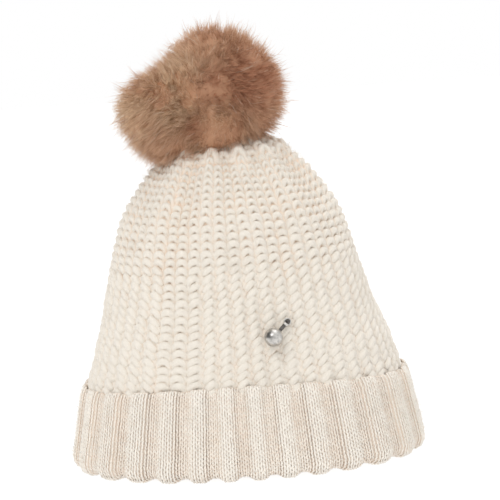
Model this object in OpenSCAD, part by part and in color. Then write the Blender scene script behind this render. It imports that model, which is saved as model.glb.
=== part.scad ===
// Pom pom beanie: bulky knit crown, ribbed turn-up cuff, fur pompom and a small ball charm.
// Upright as worn, +Z up, front towards -Y, origin at the middle of the rim it stands on.

/* [Cuff] */
// Width of the cuff over its fold, side to side
cuff_w = 207; // [150:1:260]
// Depth of the cuff over its fold, front to back
cuff_d = 160; // [115:1:200]
// Height of the turned-up cuff
cuff_h = 49; // [30:1:65]
// How far the turn-up leans in from its fold to its top edge, each side
cuff_lean = 7.5; // [4:0.5:12]
// Thickness of one layer of the ribbed fabric
rib_t = 4.2; // [2.5:0.1:6]
// Running gap between the turn-up and the inner band
cuff_gap = 0.5; // [0.3:0.1:1.5]
// Height of the fold under the inner band
fold_h = 4; // [2.5:0.1:6]

/* [Crown] */
// Height of the crown's gathered top above the rim
crown_top = 193; // [150:1:260]
// Thickness of the bulky knit
knit_t = 5; // [3:0.1:8]
// How far the gathered top leans to the wearer's right, which is -X
top_lean = 3; // [0:0.5:12]
// Depth over width near the gathered top
top_round = 0.95; // [0.8:0.01:1]
// Radius of the hole that the gathering leaves
gather_r = 4; // [3:0.1:8]
// Squareness of the oval section, 2 being an ellipse
oval_power = 2.2; // [2:0.1:3]

/* [Inside the crown] */
// Radius of the drawn yarn in the gather and the back seam's half width
gather_yarn_r = 1.3; // [0.8:0.1:2]
// Thickness of the seam ridges
seam_t = 2.2; // [1:0.1:4]
// Radius of the backing button
button_r = 10; // [7:0.5:15]
// Thickness of the backing button
button_t = 2.6; // [1.5:0.1:4]
// Radius of each button hole
button_hole_r = 1.5; // [1.2:0.1:1.8]

/* [Pompom] */
// Radius of the fur ball, seen from above
fur_r = 49; // [40:1:62]
// Half height of the fur ball
fur_rz = 44; // [36:1:55]
// How far the fur ball's middle stands off the tie, towards -X
fur_off_x = 9; // [0:0.5:12]
// How far the fur ball's middle stands off the tie, towards the front
fur_off_y = 5; // [0:0.5:10]
// How far the pompom can flop on the crown, in degrees
flop = 8; // [4:1:10]
// Radius of the pelt ball
pelt_r = 24; // [18:0.5:30]
// Thickness of the pelt
pelt_t = 1.2; // [0.8:0.1:2]
// Gap between the pelt and the crown, for the pompom to flop
pelt_gap = 1.4; // [1:0.1:3]
// Radius of the tie cord
tie_r = 1.6; // [1:0.1:2]

/* [Charm] */
// Radius of the ball
ball_r = 5.3; // [3:0.1:8]
// Place of the ball across the front
ball_x = 17.1; // [-30:0.1:30]
// Height of the ball's middle above the rim
ball_z = 78; // [70:0.5:110]
// Place where the post enters the knit, across the front
entry_x = 26; // [-40:0.1:40]
// Height where the post enters the knit
entry_z = 86; // [74:0.5:120]
// Clearance between the ball and the mean face of the knit
ball_gap = 1.6; // [0.8:0.1:4]
// Radius of the neck
neck_r = 1.05; // [0.6:0.05:1.5]
// Radius of the collar
collar_r = 1.4; // [1.2:0.05:2]
// Radius of the post through the knit
post_r = 0.9; // [0.5:0.05:1.5]
// Radius of the clutch inside
clutch_r = 4.5; // [3:0.1:8]

/* [Label] */
// Width of the folded label
label_w = 24; // [15:1:35]
// Hanging length of the folded label
label_h = 18; // [12:1:30]
// Thickness of the label tape
label_t = 0.4; // [0.2:0.05:0.8]

/* [Hidden] */
$fn = 64;
sides = 56;            // points round each oval ring
seat = 0.1;            // face to face within one body
clear = 0.5;           // between pieces that move apart

// Half sizes of the cuff and the layers inside it
cuff_a = cuff_w / 2;
cuff_b = cuff_d / 2;
band_in = cuff_lean + rib_t + cuff_gap;      // inset of the inner band from the fold
band_top = cuff_h - 5;
crown_foot = band_top + seat;
crown_in = band_in;                          // the crown's foot stands on the band

// Crown outline: share of the crown's height, share of its foot's half width
crown_line = [[0, 1], [0.1, 0.955], [0.3, 0.852], [0.55, 0.75], [0.68, 0.672],
    [0.82, 0.525], [0.92, 0.37], [0.975, 0.2]];
crown_steps = 16;

// Top of the crown and the tie through it
pivot = [-top_lean, 0, crown_top];
gather_ring_r = gather_r + 2.5;
// Fall of the crown's inner face per mm of radius, just outside the gather
fall_share = 0.038;                          // of the crown's height
gather_fall = (crown_top - crown_foot) * fall_share / (crown_b(crown_top) - knit_t);
gather_drop = max(2 * gather_yarn_r, 2.5 * gather_fall + gather_yarn_r * sqrt(1 + pow(gather_fall, 2)));
gather_z = crown_top - knit_t - gather_drop - seat;
button_z = gather_z - gather_yarn_r - seat - button_t;
leg_gap = 2.4;                               // half the distance between the tie's legs
leg_r = 1.1;
knot_r = 3.4;
neck_half = 3;                               // the tie neck's reach each side of the pivot
pelt_c = pivot + [0, 0, pelt_gap + pelt_r];
pelt_mouth_r = 5;
core_knot_r = 3.2;
both_ways = 1.65;                            // a flop and a nod together, with room to spare
fur_c = [pivot[0] - fur_off_x, pivot[1] - fur_off_y, pelt_c[2] - 3];

// ---------- functions ----------

function sgn_pow(v, p) = sign(v) * pow(abs(v), p);

// One oval ring: half width a, half depth b, middle c, height z
function ring(a, b, z, c = 0) = [for (i = [0 : sides - 1])
    let (t = 360 * i / sides)
    [c + a * sgn_pow(cos(t), 2 / oval_power), b * sgn_pow(sin(t), 2 / oval_power), z]];

// A cubic through the outline's stations, eased with neighbours' slopes
function station(k) = crown_line[min(max(k, 0), len(crown_line) - 1)];
function spline(p, q, r, s, t) = 0.5 * (2 * q + (r - p) * t + (2 * p - 5 * q + 4 * r - s) * t * t
    + (3 * q - p - 3 * r + s) * t * t * t);
function span(h, k = 0) = k >= len(crown_line) - 2 || h <= crown_line[k + 1][0] ? k : span(h, k + 1);
function crown_share(h) = let (k = span(h), u = (h - station(k)[0]) / (station(k + 1)[0] - station(k)[0]))
    spline(station(k - 1)[1], station(k)[1], station(k + 1)[1], station(k + 2)[1], u);

// Outer half width, half depth and middle of the crown at height z
function crown_share_at(z) = min(max((z - crown_foot) / (crown_top - crown_foot), 0), 0.975);
function crown_a(z) = (cuff_a - crown_in) * crown_share(crown_share_at(z));
function foot_ratio() = (cuff_b - crown_in) / (cuff_a - crown_in);
function crown_b(z) = crown_a(z) * (foot_ratio() + (top_round - foot_ratio()) * pow(crown_share_at(z), 1.5));
function crown_c(z) = -top_lean * pow(crown_share_at(z), 2);

// Front face of the crown at x and z, and its outward normal
function front(x, z) = let (a = crown_a(z), b = crown_b(z))
    [x, -b * pow(1 - pow(abs(x - crown_c(z)) / a, oval_power), 1 / oval_power), z];
function unit(v) = v / norm(v);
function front_normal(x, z) = let (e = 0.5)
    unit(cross(front(x + e, z) - front(x - e, z), front(x, z + e) - front(x, z - e)));

entry_n = front_normal(entry_x, entry_z);
charm_pivot = front(entry_x, entry_z) + 2.6 * entry_n;
ball_c = front(ball_x, ball_z) + (ball_r + ball_gap) * front_normal(ball_x, ball_z);
neck_dir = unit(ball_c - charm_pivot);
charm_len = norm(ball_c - charm_pivot);
post_head_r = 1.25;
collar_l = 1.3;
collar_at = post_head_r + 0.85;              // from the pivot to the collar
ring_tube = 0.45;

// ---------- helpers ----------

// A closed wall: rings in order round the wall's section, the last joined to the first
module wall(rings) {
    n = len(rings);
    polyhedron(points = [for (r = rings) for (p = r) p],
        faces = [for (k = [0 : n - 1]) for (i = [0 : sides - 1])
            let (j = (i + 1) % sides, m = (k + 1) % n)
            each [[k * sides + i, m * sides + j, k * sides + j],
                [k * sides + i, m * sides + i, m * sides + j]]],
        convexity = 6);
}

// Turns +Z to the direction d, with the child at point p
module along(p, d) {
    translate(p) rotate([0, acos(d[2]), atan2(d[1], d[0])]) children();
}

module torus(ring_r, tube_r) {
    rotate_extrude() translate([ring_r, 0]) circle(tube_r, $fn = 24);
}

// ---------- knit ----------

module crown_body() {
    steps = [for (k = [0 : crown_steps]) crown_foot + (crown_top - crown_foot) * 0.975
        * (1 - pow(1 - k / crown_steps, 1.6))];
    outer = [for (z = steps) ring(crown_a(z), crown_b(z), z, crown_c(z))];
    inner = [for (k = [0 : crown_steps - 1]) let (z = steps[k])
        ring(crown_a(z) - knit_t, crown_b(z) - knit_t, max(z - knit_t * pow(k / crown_steps, 4), crown_foot),
            crown_c(z))];
    top = [ring(crown_a(crown_top) * 0.5, crown_b(crown_top) * 0.5, crown_top - 0.8, -top_lean),
        ring(gather_r, gather_r, crown_top, -top_lean),
        ring(gather_r, gather_r, crown_top - knit_t, -top_lean)];
    color("ivory") wall([each outer, each top, for (k = [crown_steps - 1 : -1 : 0]) inner[k]]);
}

module cuff_inner_band() {
    a = cuff_a - band_in;
    b = cuff_b - band_in;
    z0 = fold_h + seat * 3;
    edge = 0.8;
    color("antiquewhite") wall([
        ring(a - edge, b - edge, z0), ring(a, b, z0 + edge), ring(a, b, band_top),
        ring(a - rib_t, b - rib_t, band_top), ring(a - rib_t, b - rib_t, z0 + edge),
        ring(a - rib_t + edge, b - rib_t + edge, z0)]);
}

// How far the turn-up's outer face leans in at height z
function turn_in(z) = cuff_lean * (z - fold_h) / (cuff_h - fold_h);

module cuff_turn_up() {
    levels = [for (k = [1 : 6]) fold_h + 2 + (cuff_h - fold_h - 4) * k / 6];
    foot_in = band_in + rib_t - 0.5;
    edge = 1.4;
    color("antiquewhite") wall([
        ring(cuff_a - foot_in - edge + 1, cuff_b - foot_in - edge + 1, 1),
        ring(cuff_a - foot_in + edge, cuff_b - foot_in + edge, 0),
        ring(cuff_a - 3, cuff_b - 3, 0),
        ring(cuff_a - 0.8, cuff_b - 0.8, 1.6),
        ring(cuff_a, cuff_b, fold_h + 1),
        for (z = levels) ring(cuff_a - turn_in(z), cuff_b - turn_in(z), z),
        ring(cuff_a - turn_in(cuff_h) - edge, cuff_b - turn_in(cuff_h) - edge, cuff_h),
        ring(cuff_a - turn_in(cuff_h) - rib_t + 0.6, cuff_b - turn_in(cuff_h) - rib_t + 0.6, cuff_h),
        for (k = [len(levels) - 1 : -1 : 0]) let (z = levels[k])
            ring(cuff_a - turn_in(z) - rib_t, cuff_b - turn_in(z) - rib_t, z),
        ring(cuff_a - rib_t - 1, cuff_b - rib_t - 1, fold_h),
        ring(cuff_a - foot_in, cuff_b - foot_in, fold_h)]);
}

module linking_seam() {
    a = cuff_a - band_in - rib_t - seat;
    b = cuff_b - band_in - rib_t - seat;
    z = band_top - seam_t;
    color("wheat") wall([for (k = [0 : 7]) let (t = 45 * k)
        ring(a - seam_t / 2 + cos(t) * seam_t / 2, b - seam_t / 2 + cos(t) * seam_t / 2,
            z + sin(t) * seam_t / 2)]);
}

// Ridge up the middle of the back, following the crown's inner face
module back_seam() {
    n = 18;
    z0 = band_top + seam_t;
    z1 = crown_foot + (crown_top - crown_foot) * 0.72;
    skin = knit_t + 0.5;
    pts = [for (k = [0 : n]) let (z = z0 + (z1 - z0) * k / n, y = crown_b(z) - skin, c = crown_c(z))
        each [[c - gather_yarn_r, y, z], [c + gather_yarn_r, y, z],
            [c + gather_yarn_r * 0.6, y - seam_t, z], [c - gather_yarn_r * 0.6, y - seam_t, z]]];
    color("wheat") polyhedron(points = pts,
        faces = [[0, 1, 2, 3], [for (i = [3 : -1 : 0]) 4 * n + i],
            for (k = [0 : n - 1]) for (i = [0 : 3]) let (j = (i + 1) % 4)
                each [[4 * k + i, 4 * k + 4 + i, 4 * k + 4 + j], [4 * k + i, 4 * k + 4 + j, 4 * k + j]]]);
}

module gather_yarn() {
    color("wheat") translate([pivot[0], 0, gather_z]) torus(gather_ring_r, gather_yarn_r);
}

// ---------- tie ----------

module backing_button() {
    color("tan") translate([pivot[0], 0, button_z]) difference() {
        union() {
            cylinder(r = button_r, h = button_t * 0.7);
            rotate_extrude() polygon([[button_r * 0.7, button_t * 0.7], [button_r, button_t * 0.7],
                [button_r * 0.92, button_t], [button_r * 0.78, button_t]]);
        }
        for (x = [-1, 1]) for (y = [-1, 1]) translate([x, y, 0] * leg_gap - [0, 0, 1])
            cylinder(r = button_hole_r, h = button_t + 2);
    }
}

// Knot under the button, with two legs up through it to the gathered hole
module tie_knot() {
    leg_top = crown_top - neck_half - clear;
    color("linen") translate([pivot[0], 0, 0]) {
        translate([0, 0, button_z - knot_r - seat]) union() {
            sphere(knot_r);
            for (s = [-1, 1]) translate([0, 0, -knot_r * 0.5]) rotate([0, s * 150, 0])
                cylinder(r = leg_r, h = 9);
        }
        for (s = [-1, 1]) hull() {
            translate([s * leg_gap, s * leg_gap, button_z - 1.5]) cylinder(r = leg_r, h = 1, $fn = 24);
            translate([s * leg_gap, s * leg_gap, button_z + button_t]) cylinder(r = leg_r, h = 0.5, $fn = 24);
        }
        for (s = [-1, 1]) hull() {
            translate([s * leg_gap, s * leg_gap, button_z + button_t + 0.2])
                cylinder(r = leg_r, h = 0.5, $fn = 24);
            translate([s * 0.7, s * 0.7, leg_top - 0.5]) cylinder(r = leg_r, h = 0.5, $fn = 24);
        }
    }
}

module pom_tie_cord() {
    color("linen") translate(pivot - [0, 0, neck_half]) cylinder(r = tie_r, h = 2 * neck_half);
}

module pom_gather_thread() {
    color("linen") translate([pelt_c[0], pelt_c[1], pelt_c[2] - sqrt(pow(pelt_r - pelt_t, 2)
        - pow(pelt_mouth_r + 2, 2)) + 1.6]) torus(pelt_mouth_r + 1.2, 0.8);
}

module pom_pelt() {
    color("bisque") difference() {
        translate(pelt_c) sphere(pelt_r);
        translate(pelt_c) sphere(pelt_r - pelt_t);
        translate([pelt_c[0], pelt_c[1], pivot[2] - 1]) cylinder(r = pelt_mouth_r, h = pelt_r);
    }
}

module pom_filling() {
    r = pelt_r - pelt_t - seat;
    color("white") difference() {
        translate(pelt_c) sphere(r);
        translate([pelt_c[0], pelt_c[1], pelt_c[2] - pelt_r]) cylinder(r = tie_r + clear, h = pelt_r);
        translate(pelt_c) sphere(core_knot_r + seat);
        translate([pelt_c[0], pelt_c[1], pelt_c[2] - pelt_r]) cylinder(r = pelt_mouth_r + 3.2, h = 5.2);
    }
}

module pom_core_tie() {
    z0 = pivot[2] + neck_half + clear;
    color("linen") union() {
        translate([pelt_c[0], pelt_c[1], z0]) cylinder(r = tie_r, h = pelt_c[2] - z0);
        translate(pelt_c) sphere(core_knot_r);
    }
}

// Hair coat as a closed solid, hollow for the pelt, dished underneath over the crown
module pom_fur() {
    steps = 20;
    ball = [for (k = [0 : steps]) let (t = -90 + 180 * k / steps) [fur_r * cos(t), fur_rz * sin(t)]];
    depth = 2 * fur_rz;
    under = [for (k = [0 : 8]) let (z = crown_top - depth * 0.5 * k / 8,
        r = k == 0 ? 0 : crown_a(z) + crown_c(z) - pivot[0])
        [r, z - crown_top + r * sin(both_ways * flop) + pelt_gap]];
    reach = under[len(under) - 1];
    color("rosybrown") difference() {
        translate(fur_c) rotate_extrude() polygon(ball);
        translate(pelt_c) sphere(pelt_r + seat);
        translate(pivot) cylinder(r = pelt_mouth_r + 1, h = pelt_r);
        translate(pivot) rotate_extrude() polygon([each under, [reach[0] * 2, reach[1]],
            [reach[0] * 2, -depth], [0, -depth]]);
    }
}

// ---------- charm ----------

module charm_ball() {
    color("silver") difference() {
        translate(ball_c) sphere(ball_r);
        along(ball_c - neck_dir * (ball_r + 1), neck_dir) cylinder(r = neck_r + 0.02, h = 2.5);
    }
}

module charm_neck() {
    from = collar_at + collar_l + seat;
    color("dimgray") along(charm_pivot + neck_dir * from, neck_dir)
        cylinder(r = neck_r, h = charm_len - ball_r + 1.4 - from);
}

module charm_collar() {
    color("gainsboro") along(charm_pivot + neck_dir * collar_at, neck_dir) union() {
        cylinder(r = collar_r, h = collar_l);
        cylinder(r = collar_r * 0.7, h = collar_l + 0.05);
    }
}

// Ring that turns on the post, which the collar hinges on
module charm_ring() {
    color("silver") along(charm_pivot - entry_n * 1.2, entry_n) torus(post_r + 0.85, ring_tube);
}

module charm_post() {
    color("gray") union() {
        along(charm_pivot - entry_n * (2.6 + knit_t + 3.2), entry_n) cylinder(r = post_r, h = knit_t + 5.8);
        translate(charm_pivot) sphere(post_head_r);
    }
}

module charm_clutch() {
    color("silver") along(front(entry_x, entry_z) - entry_n * (knit_t + 2.2), entry_n) difference() {
        union() {
            cylinder(r = clutch_r, h = 1);
            cylinder(r = clutch_r * 0.5, h = 1.6);
        }
        translate([0, 0, -1]) cylinder(r = post_r + 0.05, h = 4);
    }
}

// ---------- label ----------

// Folded tape: two leaves and the fold at the bottom, hanging inside the back
label_y = cuff_b - band_in - rib_t - seam_t - 2.5;
label_top = band_top - seam_t;
module care_label() {
    fold_r = label_t * 1.6;
    color("white") translate([0, label_y, label_top]) rotate([90, 0, 90]) translate([0, 0, -label_w / 2])
        linear_extrude(label_w) difference() {
            union() {
                translate([-fold_r, -label_h]) square([2 * fold_r, label_h]);
                translate([0, -label_h]) circle(fold_r, $fn = 32);
            }
            translate([label_t - fold_r, -label_h]) square([2 * (fold_r - label_t), label_h + 1]);
            translate([0, -label_h]) circle(fold_r - label_t, $fn = 32);
        }
}

module label_stitching() {
    color("white") for (s = [-1, 1]) translate([s * (label_w / 2 - 3), label_y - 2, label_top - 1.5])
        rotate([-90, 0, 0]) cylinder(r = 0.5, h = 4 + seam_t);
}

crown_body();
cuff_inner_band();
cuff_turn_up();
linking_seam();
back_seam();
gather_yarn();
backing_button();
tie_knot();
pom_tie_cord();
pom_gather_thread();
pom_pelt();
pom_filling();
pom_core_tie();
pom_fur();
charm_ball();
charm_neck();
charm_collar();
charm_ring();
charm_post();
charm_clutch();
care_label();
label_stitching();
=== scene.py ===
"""Pom pom beanie: bulky knit crown, ribbed turn-up, fur pompom and a small ball charm.

Shapes are worked out in millimetres and written to the meshes in metres, in the model's own frame:
+Z up, the front towards -Y, the origin at the middle of the rim that the hat stands on.
"""
import math
import bpy
import numpy as np
from mathutils import Matrix, Vector


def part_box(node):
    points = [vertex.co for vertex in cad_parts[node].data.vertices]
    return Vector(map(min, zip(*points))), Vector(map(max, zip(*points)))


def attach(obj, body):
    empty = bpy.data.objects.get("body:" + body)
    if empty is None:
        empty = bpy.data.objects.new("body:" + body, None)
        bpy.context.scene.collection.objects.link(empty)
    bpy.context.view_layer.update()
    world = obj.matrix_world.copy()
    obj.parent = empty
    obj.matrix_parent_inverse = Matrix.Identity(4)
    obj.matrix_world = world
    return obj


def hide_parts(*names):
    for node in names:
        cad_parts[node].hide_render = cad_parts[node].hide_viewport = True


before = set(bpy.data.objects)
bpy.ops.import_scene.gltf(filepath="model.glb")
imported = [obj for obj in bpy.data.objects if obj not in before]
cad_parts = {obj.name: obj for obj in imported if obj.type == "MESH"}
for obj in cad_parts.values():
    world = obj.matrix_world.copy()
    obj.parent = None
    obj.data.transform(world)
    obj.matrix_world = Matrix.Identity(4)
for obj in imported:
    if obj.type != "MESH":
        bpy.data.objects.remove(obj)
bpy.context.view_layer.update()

MM = 0.001
TURN = 2 * math.pi
rng = np.random.default_rng(7)

# ---------- camera, floor and light ----------

VIEW_RISE = math.radians(7.5)
VIEW_ROLL = math.radians(3.9)
VIEW_FAR = 1.5
AIM_UP = 0.1193
LENS = 184.3
SKY = 0.78
MIDDLE = (0, 0, 0.12)      # what the lamps are turned to
WHITE = (1, 1, 1, 1)
FLOOR_HALF = 3.0


def make_camera():
    """A long lens in front, a little above, rolled so that the hat leans as it lies."""
    side = Vector((1, 0, 0))
    up = Vector((0, math.sin(VIEW_RISE), math.cos(VIEW_RISE)))
    back = Vector((0, -math.cos(VIEW_RISE), math.sin(VIEW_RISE)))
    right = side * math.cos(VIEW_ROLL) - up * math.sin(VIEW_ROLL)
    top = up * math.cos(VIEW_ROLL) + side * math.sin(VIEW_ROLL)
    spot = top * AIM_UP + back * VIEW_FAR
    data = bpy.data.cameras.new("camera")
    data.lens = LENS
    data.sensor_width = 36
    camera = bpy.data.objects.new("camera", data)
    turned = Matrix((right, top, back)).transposed().to_4x4()
    camera.matrix_world = Matrix.Translation(spot) @ turned
    bpy.context.scene.collection.objects.link(camera)
    bpy.context.scene.camera = camera


def area_light(name, place, size, power):
    """A square soft light at a place, turned to the hat."""
    data = bpy.data.lights.new(name, "AREA")
    data.size = size
    data.energy = power
    lamp = bpy.data.objects.new(name, data)
    lamp.location = place
    lamp.rotation_euler = (Vector(place) - Vector(MIDDLE)).to_track_quat("Z", "Y").to_euler()
    bpy.context.scene.collection.objects.link(lamp)


# ---------- shader maths ----------


class Wire:
    """The output of a node in one tree. Sums on wires add Math nodes."""

    def __init__(self, nodes, socket):
        self.nodes = nodes
        self.socket = socket

    def math(self, operation, *values):
        return self.nodes.node("ShaderNodeMath", {"operation": operation}, dict(enumerate(values)))

    def __add__(self, other):
        return self.math("ADD", self, other)

    def __radd__(self, other):
        return self.math("ADD", other, self)

    def __sub__(self, other):
        return self.math("SUBTRACT", self, other)

    def __mul__(self, other):
        return self.math("MULTIPLY", self, other)

    def __rmul__(self, other):
        return self.math("MULTIPLY", other, self)

    def sine(self):
        return self.math("SINE", self)

    def between(self, low, high):
        """0 at low, 1 at high, and held to that range."""
        ends = {"Value": self, "From Min": low, "From Max": high}
        return self.nodes.node("ShaderNodeMapRange", {"clamp": True}, ends)

    def beside(self, out):
        """Another output of the same node."""
        return Wire(self.nodes, self.socket.node.outputs[out])


class Nodes:
    """A node tree, with one method that adds any node."""

    def __init__(self, tree):
        self.tree = tree

    def node(self, kind, settings=None, sockets=None, out=0):
        """A node of that type, with its settings, then the values or links of its sockets."""
        made = self.tree.nodes.new(kind)
        for key, value in (settings or {}).items():
            setattr(made, key, value)
        for key, value in (sockets or {}).items():
            if isinstance(value, Wire):
                self.tree.links.new(value.socket, made.inputs[key])
            else:
                made.inputs[key].default_value = value
        return Wire(self, made.outputs[out])


class Finish(Nodes):
    """A material: one Principled shader and the nodes that feed it."""

    def __init__(self, name, **constants):
        self.material = bpy.data.materials.new(name)
        self.material.use_nodes = True
        super().__init__(self.material.node_tree)
        self.shader = self.tree.nodes["Principled BSDF"]
        for socket, value in constants.items():
            self.shader.inputs[socket.replace("_", " ")].default_value = value

    def place(self):
        """Object coordinates, in metres."""
        return self.node("ShaderNodeTexCoord", out="Object")

    def value(self, name):
        """A number kept on the mesh's points."""
        return self.node("ShaderNodeAttribute", {"attribute_name": name}, out="Fac")

    def noise(self, scale, detail=2.0, vector=None, rough=0.5):
        vector = vector or self.place()
        sockets = {"Vector": vector, "Scale": scale, "Detail": detail, "Roughness": rough}
        return self.node("ShaderNodeTexNoise", {}, sockets)

    def wave(self, direction, scale, distortion=0.0):
        sockets = {"Vector": self.place(), "Scale": scale, "Distortion": distortion}
        return self.node("ShaderNodeTexWave", {"bands_direction": direction}, sockets)

    def blend(self, factor, first, second):
        """A colour from first at 0 to second at 1."""
        sockets = {0: factor, 6: self.colour(first), 7: self.colour(second)}
        return self.node("ShaderNodeMix", {"data_type": "RGBA"}, sockets, out=2)

    def colour(self, value):
        return value if isinstance(value, Wire) else (*value, 1)

    def bump(self, height, strength, distance):
        sockets = {"Height": height, "Strength": strength, "Distance": distance}
        return self.node("ShaderNodeBump", {}, sockets)

    def feed(self, **links):
        """Links wires to the shader's own sockets."""
        for socket, wire in links.items():
            self.tree.links.new(wire.socket, self.shader.inputs[socket.replace("_", " ")])
        return self.material


WOOL_GLINT = (0.95, 0.90, 0.84)
YARN_BUMP = 0.0006


def wool(name, painted_crevice_shade, crest, ply_turns, low=0.12, high=0.8):
    """Soft wool yarn: warm in the hollows, a painted shade with the warmth of light bounced in the wool,
    cream on the crests, with twisted plies and loose fibres.
    """
    finish = Finish(name, Sheen_Weight=0.35, Sheen_Roughness=0.6, Specular_IOR_Level=0.1)
    mottle = finish.noise(70.0, 3.0)
    fine = finish.noise(900.0, 2.0)
    # Painted shade: points low on the yarn (low crest value) take the crevice colour, under a random mottle;
    # low and high set where it gives way to cream.
    out = (finish.value("crest") + (mottle - 0.5) * 0.35).between(low, high)
    tint = finish.blend(out, painted_crevice_shade, crest)
    tint = finish.blend((fine - 0.5) * 0.5 + 0.12, tint, WOOL_GLINT)
    uv = finish.node("ShaderNodeUVMap", {"uv_map": "yarn"})
    run = finish.node("ShaderNodeSeparateXYZ", sockets={0: uv}, out="X")
    around = run.beside("Y")
    plies = ((run * ply_turns + around) * (2 * TURN)).sine()
    hairs = finish.noise(30.0, 3.0, vector=uv, rough=0.7)
    height = plies * 0.35 + hairs * 0.9 + fine * 0.4
    normal = finish.bump(height, 0.55, YARN_BUMP)
    rough = (fine * 0.2 + 0.78).between(0, 1)
    return finish.feed(Base_Color=tint, Roughness=rough, Normal=normal)


# ---------- meshes ----------


def new_piece(name, points, faces, body, material, uv=None, values=None):
    """A mesh from points in millimetres and index arrays of triangles or quads, riding on a body."""
    mesh = bpy.data.meshes.new(name)
    corners = np.concatenate([f.ravel() for f in faces]).astype(np.int32)
    sizes = np.concatenate([np.full(len(f), f.shape[1]) for f in faces])
    starts = np.concatenate([[0], np.cumsum(sizes)[:-1]]).astype(np.int32)
    mesh.vertices.add(len(points))
    mesh.vertices.foreach_set("co", (points * MM).astype(np.float32).ravel())
    mesh.loops.add(len(corners))
    mesh.loops.foreach_set("vertex_index", corners)
    mesh.polygons.add(len(sizes))
    mesh.polygons.foreach_set("loop_start", starts)
    mesh.update(calc_edges=True)
    mesh.polygons.foreach_set("use_smooth", np.ones(len(sizes), bool))
    if uv is not None:
        mesh.uv_layers.new(name="yarn").data.foreach_set("uv", uv.astype(np.float32).ravel())
    for key, numbers in (values or {}).items():
        layer = mesh.attributes.new(key, "FLOAT", "POINT")
        layer.data.foreach_set("value", numbers.astype(np.float32).ravel())
    mesh.materials.append(material)
    piece = bpy.data.objects.new(name, mesh)
    bpy.context.scene.collection.objects.link(piece)
    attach(piece, body)
    return piece


def unit(v):
    """Each vector over its own length."""
    return v / np.maximum(np.linalg.norm(v, axis=-1, keepdims=True), 1e-9)


def grid_faces(rows, columns, close_rows=True, close_columns=True):
    """Quads over a grid of points, wrapping round where it closes, and the grid step of each corner."""
    i, k = np.meshgrid(np.arange(rows - (not close_rows)), np.arange(columns - (not close_columns)),
                       indexing="ij")
    i = i.ravel()
    k = k.ravel()
    corner_i = np.stack([i, i, i + 1, i + 1], 1)
    corner_k = np.stack([k, k + 1, k + 1, k], 1)
    return (corner_i % rows) * columns + corner_k % columns, corner_i, corner_k


def tube_rings(centre, up, radius, sides):
    """Points round a closed path: centre + radius (cos f up + sin f (along x up)), per ring and side.

    centre and up are (..., n, 3), radius is (..., n). Returns (..., n, sides, 3) and cos f.
    """
    along = unit(np.roll(centre, -1, -2) - np.roll(centre, 1, -2))
    up = unit(up - along * np.sum(up * along, -1, keepdims=True))
    across = np.cross(along, up)
    f = TURN * np.arange(sides) / sides
    ring = np.cos(f)[:, None] * up[..., None, :] + np.sin(f)[:, None] * across[..., None, :]
    return centre[..., None, :] + radius[..., None, None] * ring, np.cos(f)


# ---------- cloth surfaces ----------

LIFT_IN = 0.25             # inward draw of cloth that rides up
ROUND = 2 / 2.2            # power of the cosine in the squared-off oval
CUFF_A = 103.5             # half width over the fold
CUFF_B = 80.0              # half depth over the fold
BAND_IN = 12.2             # from the fold to the inner band
CROWN_FOOT = 44.1
CROWN_TOP = 193.0
CROWN_LINE = ((0, 1), (0.1, 0.955), (0.3, 0.852), (0.55, 0.75), (0.68, 0.672), (0.82, 0.525),
              (0.92, 0.37), (0.975, 0.2))
TOP_ROUND = 0.95
TOP_LEAN = 3.0
GATHER_R = 4.0
OVAL_STEPS = 4096
SLIM_RATIO = 0.7           # depth over width of the slimmer of the two ovals that others lie between


def bent(v, power):
    """A power that keeps the sign."""
    return np.sign(v) * np.abs(v) ** power


def oval_table(ratio):
    """Angle at equal steps of the way round an oval whose depth is ratio times its width."""
    t = math.pi / 2 + np.linspace(0, TURN, OVAL_STEPS + 1)
    x = bent(np.cos(t), ROUND)
    y = ratio * bent(np.sin(t), ROUND)
    gone = np.concatenate([[0], np.cumsum(np.hypot(np.diff(x), np.diff(y)))])
    return gone / gone[-1], t


SLIM = oval_table(SLIM_RATIO)
FULL = oval_table(1.0)


def oval_angle(s, ratio):
    """Angle at share s of the way round, from the back by the wearer's right, front and left."""
    turns = np.floor(s)
    part = s - turns
    slim = np.interp(part, *SLIM)
    full = np.interp(part, *FULL)
    mix = np.clip((ratio - SLIM_RATIO) / (1 - SLIM_RATIO), 0, 1)
    return slim + (full - slim) * mix + TURN * turns


class Cloth:
    """A tube of cloth: half width a, half depth b, middle c and height z along a profile.

    lift(s, m) is how far the cloth rides up at a place, and it draws in by LIFT_IN of that. at(s, m) is
    the point at share s round and m millimetres along the profile, and facing(s, m) is the outward
    normal there, from finite differences.
    """

    def __init__(self, a, b, c, z, lift=None):
        self.lift = lift
        step = np.hypot(np.diff((a + b) / 2), np.diff(z))
        self.m = np.concatenate([[0], np.cumsum(step)])
        self.rows = (a, b, c, z)
        self.length = self.m[-1]

    def size(self, m):
        return [np.interp(m, self.m, row) for row in self.rows]

    def at(self, s, m):
        a, b, c, z = self.size(m)
        if self.lift:
            up = self.lift(s, m)
            a, b, z = a - up * LIFT_IN, b - up * LIFT_IN, z + up
        t = oval_angle(s, b / a)
        return np.stack([c + a * bent(np.cos(t), ROUND), b * bent(np.sin(t), ROUND), z], -1)

    def facing(self, s, m):
        m = np.clip(m, 0.6, self.length - 0.6)
        round_it = self.at(s + 0.002, m) - self.at(s - 0.002, m)
        up_it = self.at(s, m + 0.5) - self.at(s, m - 0.5)
        return unit(np.cross(round_it, up_it))

    def off(self, s, m, d):
        """The point d millimetres outside the cloth's middle."""
        return self.at(s, m) + self.facing(s, m) * d[..., None]


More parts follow.
